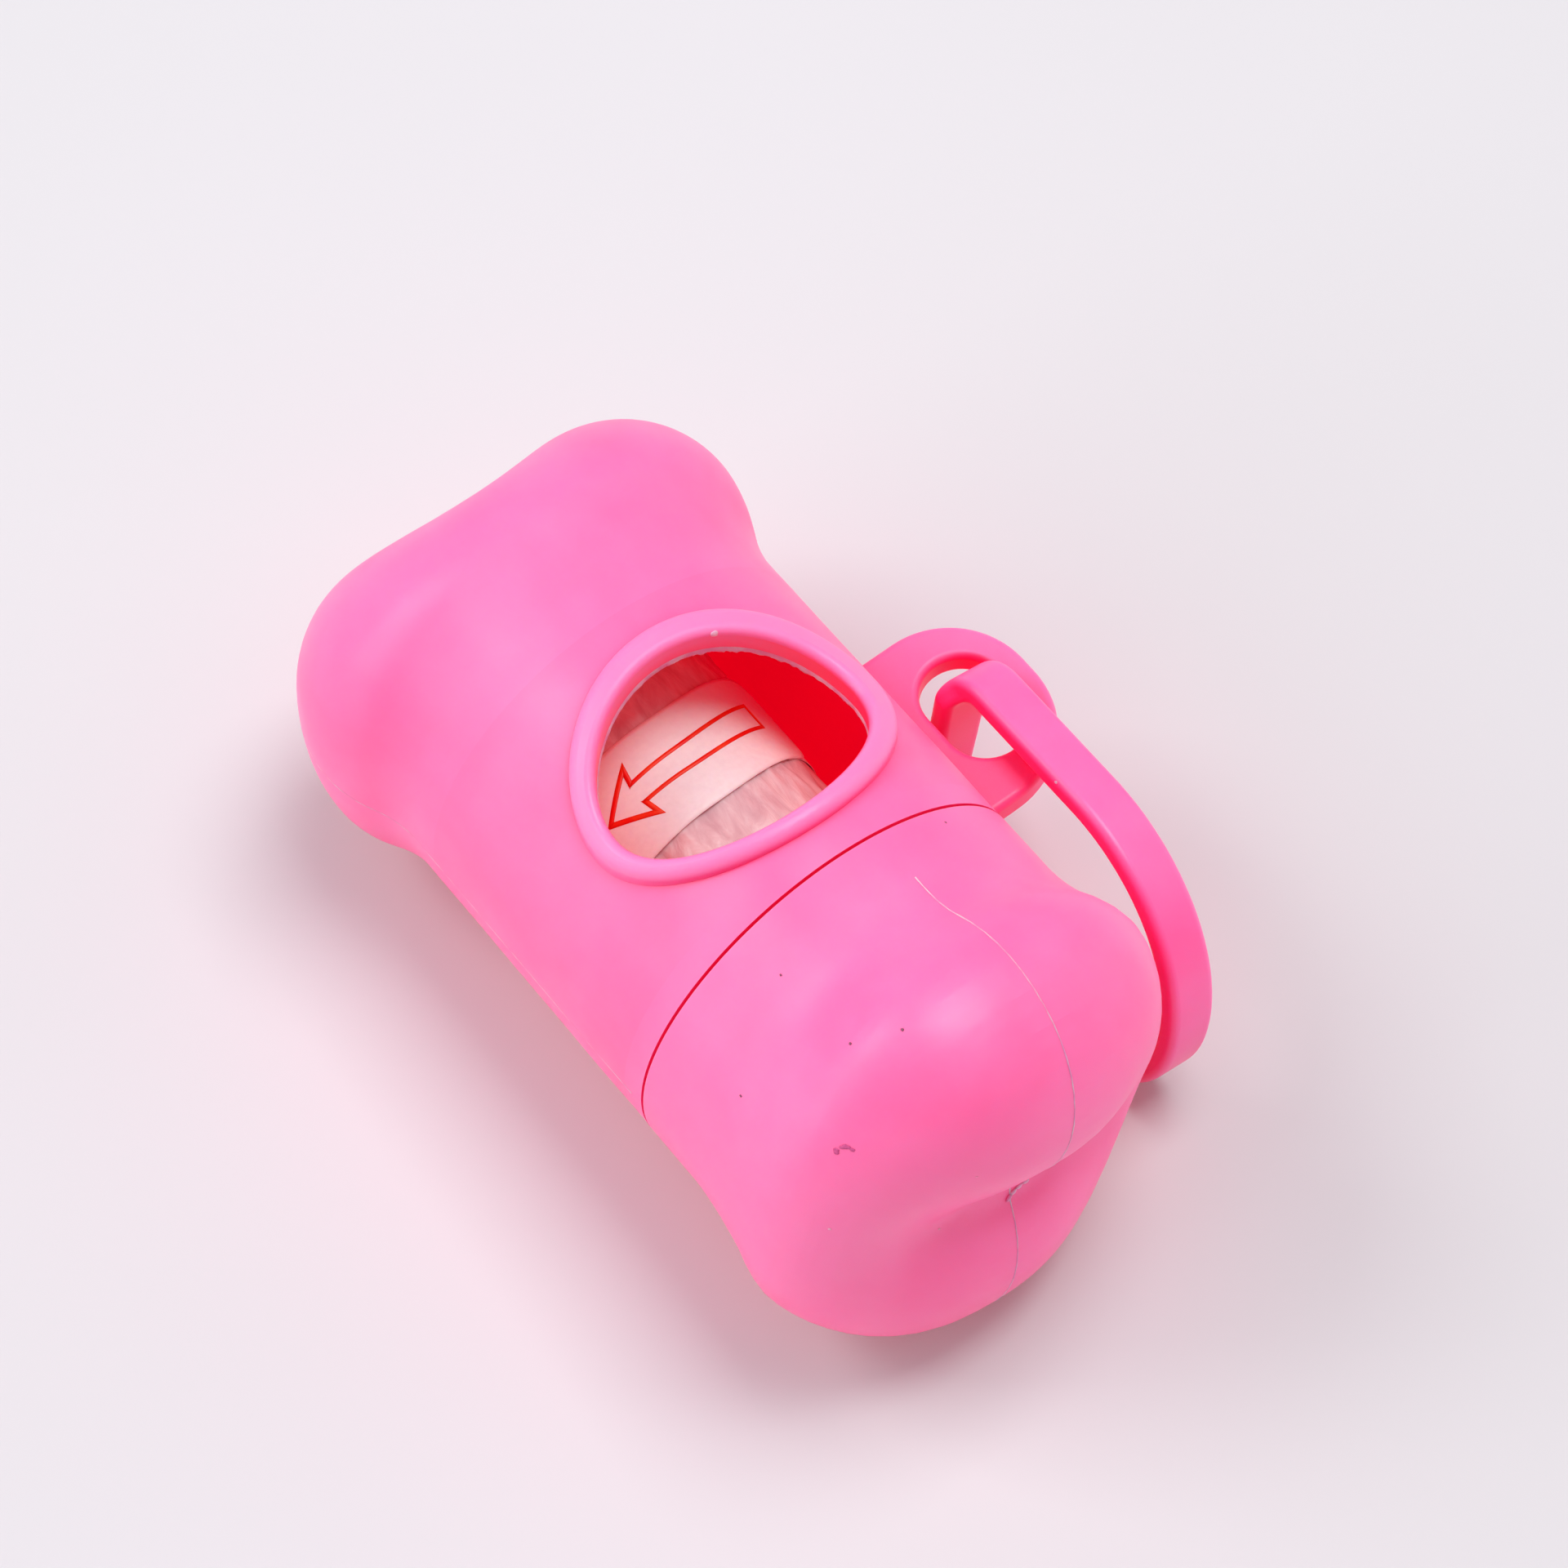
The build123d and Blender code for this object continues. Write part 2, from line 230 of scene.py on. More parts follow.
def mouldedSoftPvc(name, tint, rough, hollowShadeRange=None, cutRange=None):
    # plasticised PVC dyed a fluorescent pink: satin, faintly cloudy; painted shade deepens it in corners and
    # inside, a painted highlight pales the rim round the window, and a painted red glow stands in for light
    # coming through the wall
    material = newMaterial(name)
    texture = addNode(material, "ShaderNodeTexCoord")
    where = texture.outputs["Object"]
    cloud = addNode(material, "ShaderNodeTexNoise",
                    values={"Scale": repeatOf(pink["cloud"]), "Detail": 3, "Roughness": 0.55},
                    links={"Vector": where})
    colour = addNode(material, "ShaderNodeValToRGB", links={"Fac": cloud.outputs["Fac"]},
                     stops=[(0.35, tint["deep"]), (0.5, tint["base"]), (0.68, tint["pale"])])
    grain = addNode(material, "ShaderNodeTexNoise",
                    values={"Scale": repeatOf(pink["grain"]), "Detail": 2}, links={"Vector": where})
    ripple = addNode(material, "ShaderNodeTexNoise",
                     values={"Scale": repeatOf(pink["ripple"]), "Detail": 1}, links={"Vector": where})
    patchy = addNode(material, "ShaderNodeMapRange",
                     values={"From Min": 0.3, "From Max": 0.7,
                             "To Min": rough - pink["roughBelow"], "To Max": rough + pink["roughAbove"]},
                     links={"Value": ripple.outputs["Fac"]})
    soft = addNode(material, "ShaderNodeBump", values={"Strength": 0.25, "Distance": 0.25 * mm},
                   links={"Height": ripple.outputs["Fac"]})
    fine = addNode(material, "ShaderNodeBump", values={"Strength": 0.12, "Distance": 0.04 * mm},
                   links={"Height": grain.outputs["Fac"], "Normal": soft.outputs["Normal"]})
    # painted shade: ambient occlusion deepens the colour where the part is closed in
    nookShade = addNode(material, "ShaderNodeAmbientOcclusion", {"samples": 8},
                   {"Distance": pink["nookShadeReach"] * mm})
    nookShadeShare = addNode(material, "ShaderNodeMapRange",
                     values={"From Min": pink["nookShadeOpen"], "From Max": pink["nookShadeShut"],
                             "To Max": pink["nookShadeMost"]},
                     links={"Value": nookShade.outputs["AO"]})
    colour = addNode(material, "ShaderNodeMix", {"data_type": "RGBA"}, {"B": hexColour(pink["nookShade"])},
                     {"Factor": nookShadeShare.outputs["Result"], "A": colour.outputs["Color"]}).outputs["Result"]
    # painted glow: red emission, weaker in corners and stronger inside
    paintedGlow = addNode(material, "ShaderNodeMapRange",
                  values={"To Min": pink["paintedGlowOutside"], "To Max": pink["paintedGlowNook"]},
                  links={"Value": nookShadeShare.outputs["Result"]}).outputs["Result"]
    # painted shade: deep red inside the bone and down the cut edge of the window
    if hollowShadeRange:
        inside = hollowShadeShare(material, texture, hollowShadeRange, cutRange)
        colour = addNode(material, "ShaderNodeMix", {"data_type": "RGBA"}, {"B": hexColour(pink["hollowShade"])},
                         {"Factor": inside.outputs["Value"], "A": colour}).outputs["Result"]
        paintedGlow = addNode(material, "ShaderNodeMapRange", values={"To Max": pink["paintedGlowInside"]},
                      links={"Value": inside.outputs["Value"], "To Min": paintedGlow}).outputs["Result"]
    # painted highlight: paler pink on the crest of the rim round the window
    if cutRange:
        place, _, radius = axisDistance(material, texture)
        high = addNode(material, "ShaderNodeMapRange", {"interpolation_type": "SMOOTHSTEP"},
                       {"From Min": pink["beadLow"] * mm, "From Max": pink["beadHigh"] * mm},
                       {"Value": radius.outputs["Value"]})
        share = high.outputs["Result"]
        for axis, test, bound in (("Z", "GREATER_THAN", pink["beadFloor"]),
                                  ("X", "GREATER_THAN", cutRange[0]), ("X", "LESS_THAN", cutRange[1])):
            kept = addNode(material, "ShaderNodeMath", {"operation": test},
                           {1: bound * mm}, {0: place.outputs[axis]})
            share = addNode(material, "ShaderNodeMath", {"operation": "MULTIPLY"},
                            links={0: share, 1: kept.outputs["Value"]}).outputs["Value"]
        colour = addNode(material, "ShaderNodeMix", {"data_type": "RGBA"}, {"B": hexColour(pink["bead"])},
                         {"Factor": share, "A": colour}).outputs["Result"]
    shader = addNode(material, "ShaderNodeBsdfPrincipled",
                     values={"IOR": 1.53, "Subsurface Weight": 0.5, "Subsurface Radius": pink["glow"],
                             "Subsurface Scale": pink["glowDepth"] * mm, "Specular IOR Level": 0.5,
                             "Emission Color": hexColour(pink["paintedGlow"])},
                     links={"Base Color": colour, "Roughness": patchy.outputs["Result"],
                            "Normal": fine.outputs["Normal"], "Emission Strength": paintedGlow})
    addNode(material, "ShaderNodeOutputMaterial", links={"Surface": shader.outputs["BSDF"]})
    return material


def whitenedPvc():
    # the same PVC where a thin flash was squeezed or cut: paler, a little milky
    material = newMaterial("cutSoftPvcFlash")
    where = addNode(material, "ShaderNodeTexCoord").outputs["Object"]
    patch = addNode(material, "ShaderNodeTexNoise",
                    values={"Scale": repeatOf(1.5), "Detail": 3}, links={"Vector": where})
    colour = addNode(material, "ShaderNodeValToRGB", links={"Fac": patch.outputs["Fac"]},
                     stops=[(0.4, "#ff98ce"), (0.62, "#ffcee8")])
    bump = addNode(material, "ShaderNodeBump", values={"Strength": 0.4, "Distance": 0.03 * mm},
                   links={"Height": patch.outputs["Fac"]})
    shader = addNode(material, "ShaderNodeBsdfPrincipled",
                     values={"IOR": 1.53, "Roughness": 0.4, "Subsurface Weight": 0.6,
                             "Subsurface Radius": pink["glow"], "Subsurface Scale": 0.8 * mm},
                     links={"Base Color": colour.outputs["Color"], "Normal": bump.outputs["Normal"]})
    addNode(material, "ShaderNodeOutputMaterial", links={"Surface": shader.outputs["BSDF"]})
    return material


def blownFilm():
    # clear polyethylene film, blown and wound in many layers: milky, glossy, finely creased, with painted
    # shade in the hollows of its creases and painted highlight on their crests
    material = newMaterial("blownPolyethyleneFilm")
    where = addNode(material, "ShaderNodeTexCoord").outputs["Object"]
    stretched = addNode(material, "ShaderNodeMapping", values={"Scale": (0.35, 1.0, 1.0)},
                        links={"Vector": where})
    creaseAndShade = addNode(material, "ShaderNodeTexNoise",
                     values={"Scale": repeatOf(1.6), "Detail": 5, "Roughness": 0.62, "Distortion": 0.8},
                     links={"Vector": stretched.outputs["Vector"]})
    # painted shade and highlight: darker pink in the hollows of the creases, near white on their crests
    colour = addNode(material, "ShaderNodeValToRGB", links={"Fac": creaseAndShade.outputs["Fac"]},
                     stops=[(0.3, "#e0bac2"), (0.5, "#efd2d7"), (0.7, "#fff0f1")])
    bump = addNode(material, "ShaderNodeBump", values={"Strength": 0.55, "Distance": 0.25 * mm},
                   links={"Height": creaseAndShade.outputs["Fac"]})
    shader = addNode(material, "ShaderNodeBsdfPrincipled",
                     values={"IOR": 1.51, "Roughness": 0.24, "Transmission Weight": 0.12,
                             "Subsurface Weight": 0.4, "Subsurface Radius": (1.0, 0.8, 0.8),
                             "Subsurface Scale": 1.5 * mm},
                     links={"Base Color": colour.outputs["Color"], "Normal": bump.outputs["Normal"]})
    addNode(material, "ShaderNodeOutputMaterial", links={"Surface": shader.outputs["BSDF"]})
    return material


def coatedPaper():
    # thin coated label paper: near white, dull sheen, very fine fibre clouding
    material = newMaterial("coatedLabelPaper")
    where = addNode(material, "ShaderNodeTexCoord").outputs["Object"]
    fibre = addNode(material, "ShaderNodeTexNoise",
                    values={"Scale": repeatOf(0.6), "Detail": 4}, links={"Vector": where})
    colour = addNode(material, "ShaderNodeValToRGB", links={"Fac": fibre.outputs["Fac"]},
                     stops=[(0.35, "#f8f4f6"), (0.65, "#fdfbfc")])
    bump = addNode(material, "ShaderNodeBump", values={"Strength": 0.15, "Distance": 0.02 * mm},
                   links={"Height": fibre.outputs["Fac"]})
    shader = addNode(material, "ShaderNodeBsdfPrincipled",
                     values={"IOR": 1.5, "Roughness": 0.5, "Subsurface Weight": 0.2,
                             "Subsurface Scale": 0.3 * mm},
                     links={"Base Color": colour.outputs["Color"], "Normal": bump.outputs["Normal"]})
    addNode(material, "ShaderNodeOutputMaterial", links={"Surface": shader.outputs["BSDF"]})
    return material


def printedInk():
    # red flexo ink on the paper: flat colour that thins a little along its run
    material = newMaterial("printedRedInk")
    where = addNode(material, "ShaderNodeTexCoord").outputs["Object"]
    wear = addNode(material, "ShaderNodeTexNoise",
                   values={"Scale": repeatOf(2.5), "Detail": 3}, links={"Vector": where})
    colour = addNode(material, "ShaderNodeValToRGB", links={"Fac": wear.outputs["Fac"]},
                     stops=[(0.4, "#ee1408"), (0.7, "#f5431a")])
    shader = addNode(material, "ShaderNodeBsdfPrincipled", values={"IOR": 1.5, "Roughness": 0.45},
                     links={"Base Color": colour.outputs["Color"]})
    addNode(material, "ShaderNodeOutputMaterial", links={"Surface": shader.outputs["BSDF"]})
    return material


def woundGreyboard():
    # recycled board, wound in a spiral and glued: grey brown, flecked, with a faint joint line
    material = newMaterial("woundGreyboard")
    where = addNode(material, "ShaderNodeTexCoord").outputs["Object"]
    fleck = addNode(material, "ShaderNodeTexNoise",
                    values={"Scale": repeatOf(0.5), "Detail": 6}, links={"Vector": where})
    joint = addNode(material, "ShaderNodeTexWave", {"bands_direction": "X"},
                    {"Scale": repeatOf(9) / 3, "Distortion": 1.2, "Detail": 1}, {"Vector": where})
    colour = addNode(material, "ShaderNodeValToRGB", links={"Fac": fleck.outputs["Fac"]},
                     stops=[(0.3, "#8f8069"), (0.7, "#bcae95")])
    bump = addNode(material, "ShaderNodeBump", values={"Strength": 0.3, "Distance": 0.08 * mm},
                   links={"Height": joint.outputs["Fac"]})
    shader = addNode(material, "ShaderNodeBsdfPrincipled", values={"IOR": 1.45, "Roughness": 0.85},
                     links={"Base Color": colour.outputs["Color"], "Normal": bump.outputs["Normal"]})
    addNode(material, "ShaderNodeOutputMaterial", links={"Surface": shader.outputs["BSDF"]})
    return material


def tableBoard():
    # matt white board that the part lies on
    material = newMaterial("mattWhiteTableBoard")
    where = addNode(material, "ShaderNodeTexCoord").outputs["Object"]
    tone = addNode(material, "ShaderNodeTexNoise",
                   values={"Scale": repeatOf(180), "Detail": 2}, links={"Vector": where})
    colour = addNode(material, "ShaderNodeValToRGB", links={"Fac": tone.outputs["Fac"]},
                     stops=[(0.3, "#e7e4e7"), (0.7, "#ece9ed")])
    shader = addNode(material, "ShaderNodeBsdfPrincipled", values={"IOR": 1.45, "Roughness": 0.75},
                     links={"Base Color": colour.outputs["Color"]})
    addNode(material, "ShaderNodeOutputMaterial", links={"Surface": shader.outputs["BSDF"]})
    return material


strapTint = {"base": "#ff7cc4", "pale": "#ff86cb", "deep": "#ff73bc"}
holderPvc = mouldedSoftPvc("blowMouldedSoftPvc", pink, 0.4, (-48, 9), (-30, -2.5))
capPvc = mouldedSoftPvc("blowMouldedSoftPvcCap", pink, 0.4, (0.3, 24))
strapPvc = mouldedSoftPvc("injectionMouldedSoftPvc", strapTint, 0.36)
flashPvc = whitenedPvc()
film = blownFilm()
paper = coatedPaper()
ink = printedInk()
greyboard = woundGreyboard()
print("materials are made")

loop = {
    "legX": -14.3,  # mm, the leg of the strap that goes down through the eyelet
    "legReach": 3.4,
    "top": 3.9,
    "full": 1.6,
    "foot": -2.5,
    "end": -7.0,
    "ease": 1.6,  # over which the lean starts along the strap
    "lean": (0.5, 0.85),  # mm towards the barrel, on its outer and its inner edge
    "middleY": 26.5,
    "halfWidth": 2.4,
}


def makeStrap():
    # the soft leg of the strap leans on the barrel side of the eyelet
    strap = bpy.data.objects.new("leaning_strap", nodes["carry_strap"].data.copy())
    strap.matrix_world = nodes["carry_strap"].matrix_world.copy()
    bpy.context.scene.collection.objects.link(strap)
    for v in strap.data.vertices:
        x, y, z = [c / mm for c in v.co]
        near = smooth((loop["legX"] + loop["legReach"] - x) / loop["ease"])
        down = smooth((loop["top"] - z) / (loop["top"] - loop["full"]))
        down *= smooth((z - loop["end"]) / (loop["foot"] - loop["end"]))
        inner = min(1, max(0, 0.5 - (y - loop["middleY"]) / (2 * loop["halfWidth"])))
        v.co.y -= mix(*loop["lean"], inner) * near * down * mm
    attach(strap, "strap")
    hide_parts("carry_strap")
    return strap


strap = makeStrap()
paint(nodes["body_shell"], holderPvc)
paint(nodes["end_cap"], capPvc)
paint(strap, strapPvc)
paint(nodes["roll_core"], greyboard)


# wound bags: a crumpled outer layer, and the edges of the layers on both ends

rollLow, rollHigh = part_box("bag_roll")
axisY = (rollLow.y + rollHigh.y) / 2
axisZ = (rollLow.z + rollHigh.z) / 2
rollRadius = (rollHigh.y - rollLow.y) / 2
coreLow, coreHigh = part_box("roll_core")
coreRadius = (coreHigh.y - coreLow.y) / 2


def aroundRoll(x, turn, radius):
    return Vector((x, axisY + radius * math.sin(turn), axisZ + radius * math.cos(turn)))


bags = {
    "around": 300,
    "along": 150,
    "layers": 26,
    "crumple": 0.42,  # mm, deepest crease
    "creaseRun": 7.0,  # mm
    "sharpRun": 4.5,
    "creaseGap": 1.7,
    "diagonalRun": 3.1,
    "endInset": 0.35,  # mm, how far the end layers stay below the outermost bag
    "layerGap": 0.4,
    "layerStep": 0.5,
    "rounding": 0.8,
    "flapTurn": -58,  # degrees, where the outermost bag ends
    "flapStep": 0.12,  # mm
}


def creaseDepth(x, turn, radius):
    arc = turn * radius
    long = noise.noise(Vector((x / (bags["creaseRun"] * mm), math.cos(turn) * 3, math.sin(turn) * 3)) * 1.3)
    sharp = abs(noise.noise(Vector((x / (bags["sharpRun"] * mm),
                                    math.cos(turn) * radius / (bags["creaseGap"] * mm),
                                    math.sin(turn) * radius / (bags["creaseGap"] * mm)))))
    diagonal = abs(noise.noise(Vector(((x + arc * 0.6) / (bags["diagonalRun"] * mm),
                                       math.cos(turn) * 5 + 7, math.sin(turn) * 5))))
    return 0.35 * abs(long) + 0.4 * min(1, sharp * 1.8) + 0.25 * min(1, diagonal * 2)


def makeBags():
    count = bags["around"]
    rows = []
    for i in range(bags["layers"]):  # far end, from the tube outwards
        radius = mix(coreRadius, rollRadius - bags["endInset"] * mm, i / bags["layers"])
        rows.append((rollLow.x, radius, True))
    for i in range(bags["along"] + 1):
        rows.append((mix(rollLow.x, rollHigh.x, i / bags["along"]), rollRadius, False))
    for i in range(bags["layers"]):
        radius = mix(rollRadius - bags["endInset"] * mm, coreRadius, (i + 1) / bags["layers"])
        rows.append((rollHigh.x, radius, True))
    verts, faces = [], []
    for rowX, rowRadius, onEnd in rows:
        for j in range(count):
            x, radius = rowX, rowRadius
            turn = 2 * math.pi * j / count
            if onEnd:  # layers stand in and out of the end face by turns
                across = radius / (bags["layerGap"] * mm)
                inward = 0.5 * (1 + noise.noise(Vector((across, math.cos(turn) * 2, math.sin(turn) * 2))))
                shift = inward * bags["layerStep"] * mm
                x += shift if x < (rollLow.x + rollHigh.x) / 2 else -shift
            else:
                edge = min(x - rollLow.x, rollHigh.x - x)
                rounding = max(0, 1 - edge / (bags["rounding"] * mm)) ** 2 * bags["endInset"] * mm
                flap = (turn - math.radians(bags["flapTurn"])) % (2 * math.pi) / (2 * math.pi)
                depth = creaseDepth(x, turn, radius) * bags["crumple"] * mm
                radius -= depth * (1 if edge > 0.5 * mm else 0.4) + rounding + flap * bags["flapStep"] * mm
            verts.append(aroundRoll(x, turn, radius))
    for i in range(len(rows) - 1):
        for j in range(count):
            k = (j + 1) % count
            faces.append((i * count + j, (i + 1) * count + j, (i + 1) * count + k, i * count + k))
    last = (len(rows) - 1) * count
    for j in range(count):  # close along the tube
        k = (j + 1) % count
        faces.append((last + j, j, k, last + k))
    piece = makePiece("wound_bags", verts, faces, "roll", film)
    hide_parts("bag_roll")
    return piece


makeBags()
print("bags are wound")


# paper band: one strip wound once round the bags, its free end on top with rounded corners

bandLow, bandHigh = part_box("roll_band")
bandRadius = (bandHigh.y - bandLow.y) / 2
band = {
    "freeEnd": 68,  # degrees from the top, towards the tab
    "overlap": 20,
    "diveStart": 300,  # degrees along the strip, from where it dives under its own end
    "diveRun": 60,
    "thick": 0.09,  # mm
    "corner": 2.0,
    "lift": 0.15,  # where the glue has let go of the free end
    "liftRun": 3,
    "wave": 0.03,
    "skew": -1.6,  # how far the strip runs askew towards its free end
    "skewEnd": 65,  # degrees
    "skewBack": 175,
    "steps": 260,
    "across": 24,
}


def bandSkew(turnDeg):
    turn = (turnDeg + 180) % 360 - 180
    share = turn / band["skewEnd"]
    if turn > band["skewEnd"]:
        share = (band["skewBack"] - turn) / (band["skewBack"] - band["skewEnd"])
    return band["skew"] * mm * smooth(share)


def makeBand():
    sweepTurn = math.radians(360 + band["overlap"])
    start = math.radians(band["freeEnd"])
    verts, faces = [], []
    for side in (0, 1):  # outer face, then inner face
        for i in range(band["steps"] + 1):
            share = i / band["steps"]
            turn = start - sweepTurn * share
            under = (share * (360 + band["overlap"]) - band["diveStart"]) / band["diveRun"]
            under = min(1, max(0, under))
            radius = bandRadius - under * 1.2 * band["thick"] * mm - side * band["thick"] * mm * 0.9
            arc = share * sweepTurn * bandRadius
            inset = 0
            if arc < band["corner"] * mm:
                c = band["corner"] * mm
                inset = c - math.sqrt(max(0, c * c - (c - arc) ** 2))
            radius += band["lift"] * mm * max(0, 1 - arc / (band["liftRun"] * mm)) ** 2
            skew = bandSkew(math.degrees(turn))
            for j in range(band["across"] + 1):
                x = mix(bandLow.x + inset, bandHigh.x - inset, j / band["across"]) + skew
                wave = noise.noise(Vector((x / (5 * mm), turn * 2.2, 3))) * band["wave"] * mm
                verts.append(aroundRoll(x, turn, radius - abs(wave)))
    cols = band["across"] + 1
    half = (band["steps"] + 1) * cols
    for i in range(band["steps"]):
        for j in range(band["across"]):
            a = i * cols + j
            faces.append((a, a + 1, a + cols + 1, a + cols))
            faces.append((half + a, half + a + cols, half + a + cols + 1, half + a + 1))
    for i in range(band["steps"]):
        for j in (0, band["across"]):
            a, b = i * cols + j, (i + 1) * cols + j
            faces.append((a, b, half + b, half + a) if j == 0 else (a, half + a, half + b, b))
    for i in (0, band["steps"]):
        for j in range(band["across"]):
            a = i * cols + j
            faces.append((a, half + a, half + a + 1, a + 1) if i == 0 else (a, a + 1, half + a + 1, half + a))
    piece = makePiece("paper_band", verts, faces, "roll", paper)
    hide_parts("roll_band")
    return piece


makeBand()


# arrow printed on the band in red outline, pointing the way the roll unwinds

arrow = {
    "tailTurn": 49.3,  # degrees from the top, towards the tab
    "neckTurn": -20.2,
    "barbTurn": -18.3,
    "tipTurn": -41.8,
    "middle": -20.7,  # mm along the roll
    "shaft": 3.1,
    "neck": 2.5,
    "head": 6.3,
    "stroke": 0.4,
    "headStroke": 0.5,
    "proud": 0.025,
    "tipShift": 0.3,
    "pieceLength": 0.25,  # mm, so that the ink bends with the paper
    "inkShare": 0.8,  # of how far it stands proud
}


def makeArrow():
    radius = bandRadius + arrow["proud"] * mm
    def at(turnDeg, x):
        return Vector((x * mm, math.radians(turnDeg) * radius))  # x along the roll, arc round it
    shaft, neck, head, middle = arrow["shaft"] / 2, arrow["neck"] / 2, arrow["head"] / 2, arrow["middle"]
    outline = [
        at(arrow["tailTurn"], middle - shaft), at(arrow["tailTurn"], middle + shaft),
        at(arrow["neckTurn"], middle + neck), at(arrow["barbTurn"], middle + head),
        at(arrow["tipTurn"], middle + arrow["tipShift"]), at(arrow["barbTurn"], middle - head),
        at(arrow["neckTurn"], middle - neck)]
    verts, faces = [], []
    count = len(outline)
    def inner(i, width):
        before, here, after = outline[i - 1], outline[i], outline[(i + 1) % count]
        a, b = (here - before).normalized(), (after - here).normalized()
        na, nb = Vector((-a.y, a.x)), Vector((-b.y, b.x))
        bisector = (na + nb).normalized()
        return here + bisector * width / max(0.35, bisector.dot(na))
    turnSign = sum(outline[i].cross(outline[(i + 1) % count]) for i in range(count))
    for i in range(count):
        k = (i + 1) % count
        wide = (arrow["headStroke"] if i in (2, 3, 4, 5) else arrow["stroke"]) * mm
        wide *= 1 if turnSign > 0 else -1
        o1, o2 = outline[i], outline[k]
        i1, i2 = inner(i, wide), inner(k, wide)
        steps = max(2, int((o2 - o1).length / (arrow["pieceLength"] * mm)))
        first = len(verts)
        for s in range(steps + 1):
            for end1, end2 in ((o1, o2), (i1, i2)):
                p = end1.lerp(end2, s / steps)
                turn = p.y / radius
                verts.append(aroundRoll(p.x + bandSkew(math.degrees(turn)), turn, radius))
        for s in range(steps):
            a = first + 2 * s
            faces.append((a, a + 1, a + 3, a + 2))
    piece = makePiece("band_arrow", verts, faces, "roll", ink)
    thick = piece.modifiers.new("inkThickness", "SOLIDIFY")
    thick.thickness = arrow["proud"] * mm * arrow["inkShare"]
    thick.offset = -1
    return piece


makeArrow()
print("band is wrapped and printed")


# thin flash that the moulds leave along their parting lines

def chainsOf(edges):
    left = dict.fromkeys(edges)  # in a fixed order, so that each run draws the same chains
    chains = []
    while left:
        edge = next(iter(left))
        del left[edge]
        chain = [edge.verts[0], edge.verts[1]]
        for end in (1, 0):
            while True:
                tip = chain[-1] if end else chain[0]
                nextEdge = next((e for e in tip.link_edges if e in left), None)
                if nextEdge is None:
                    break
                del left[nextEdge]
                other = nextEdge.other_vert(tip)
                chain.append(other) if end else chain.insert(0, other)
        chains.append(chain)
    return chains


def partingCurves(node, normal, keeps):
    bm = bmesh.new()
    bm.from_mesh(node.data)
    bmesh.ops.remove_doubles(bm, verts=bm.verts, dist=0.002 * mm)
    geom = bm.verts[:] + bm.edges[:] + bm.faces[:]
    cut = bmesh.ops.bisect_plane(bm, geom=geom, plane_co=(0, 0, 0), plane_no=normal)["geom_cut"]
    bm.normal_update()
    edges = [e for e in cut
             if isinstance(e, bmesh.types.BMEdge) and all(keeps(v.co, v.normal) for v in e.verts)]
    curves = [[(v.co.copy(), v.normal.copy()) for v in chain] for chain in chainsOf(edges)]
    bm.free()
    return [c for c in curves if len(c) > 6]


def makeRidge(name, curves, normal, body, size, strength):
    verts, faces = [], []
    wide, high = size
    for curve in curves:
        points = [curve[0]]
        for point in curve[1:]:  # thin out crowded points
            if (point[0] - points[-1][0]).length > flash["step"]:
                points.append(point)
        first = len(verts)
        for place, out in points:
            out = (out - normal * out.dot(normal)).normalized()
            lift = high * strength(place) * (0.75 + 0.5 * noise.noise(place / flash["highRun"]))
            half = wide * (0.8 + 0.4 * noise.noise(place / flash["wideRun"] + Vector((5, 0, 0)))) / 2
            foot = place - out * flash["sunk"] * mm
            crest = place + out * max(flash["least"], lift)
            narrow = normal * half * flash["crestShare"]
            verts += [foot - normal * half, crest - narrow, crest + narrow, foot + normal * half]
        for i in range(len(points) - 1):
            a = first + 4 * i
            for k in range(3):
                faces.append((a + k, a + k + 1, a + k + 5, a + k + 4))
    return makePiece(name, verts, faces, body, flashPvc)


flash = {
    "capTurn": 75,  # degrees about the bone's axis, as far as the cap is screwed on
    "capSize": (0.22 * mm, 0.09 * mm),
    "holderSize": (0.2 * mm, 0.05 * mm),
    "lip": 0.4 * mm,  # no flash on the lip of the cap
    "step": 0.25 * mm,  # least distance between points
    "sunk": 0.03,  # mm, so that it grows out of the skin
    "least": 0.002 * mm,
    "crestShare": 0.35,
    "highRun": 1.3 * mm,  # over which its height and its width wander
    "wideRun": 2.1 * mm,
}
capNormal = Matrix.Rotation(math.radians(flash["capTurn"]), 3, "X") @ Vector((0, 0, 1))
capMiddle = Vector((8 * mm, 0, 0))
capCurves = partingCurves(nodes["end_cap"], capNormal,
                          lambda p, n: p.x > flash["lip"] and n.dot(p - capMiddle) > 0)
holderCurves = partingCurves(nodes["body_shell"], Vector((0, 0, 1)),
                             lambda p, n: p.x < -1 * mm and p.y < 0 and n.y * p.y > 0 or
                             p.x < -48 * mm and n.x < 0)
makeRidge("cap_parting_flash", capCurves, capNormal, "cap", flash["capSize"],
          lambda p: mix(1.5, 0.55, min(1, p.x / (8 * mm))) + 0.4 * noise.noise(p / (6 * mm)))
makeRidge("holder_parting_flash", holderCurves, Vector((0, 0, 1)), "shell", flash["holderSize"],
          lambda p: 0.6 + 0.6 * noise.noise(p / (8 * mm)))
print("parting flash:", len(capCurves), "runs on the cap,", len(holderCurves), "on the holder")


# burr that the knife left along the inner edge of the window

window = {
    "middle": (-13.65, 1.15),  # mm
    "half": 12.4,
    "far": 10.4,
    "near": 8.45,
    "hollowRadius": 18.4,
    "steps": 420,
    "up": 0.5,
    "down": 0.32,
    "thick": 0.07,
    "sunk": 0.02,  # so that it sits in the cut face
    "lip": 0.03,
    "tipIn": 0.04,
    "backIn": 0.05,
    "backDrop": 0.3,  # share of the drop
    "curl": 0.12,
}


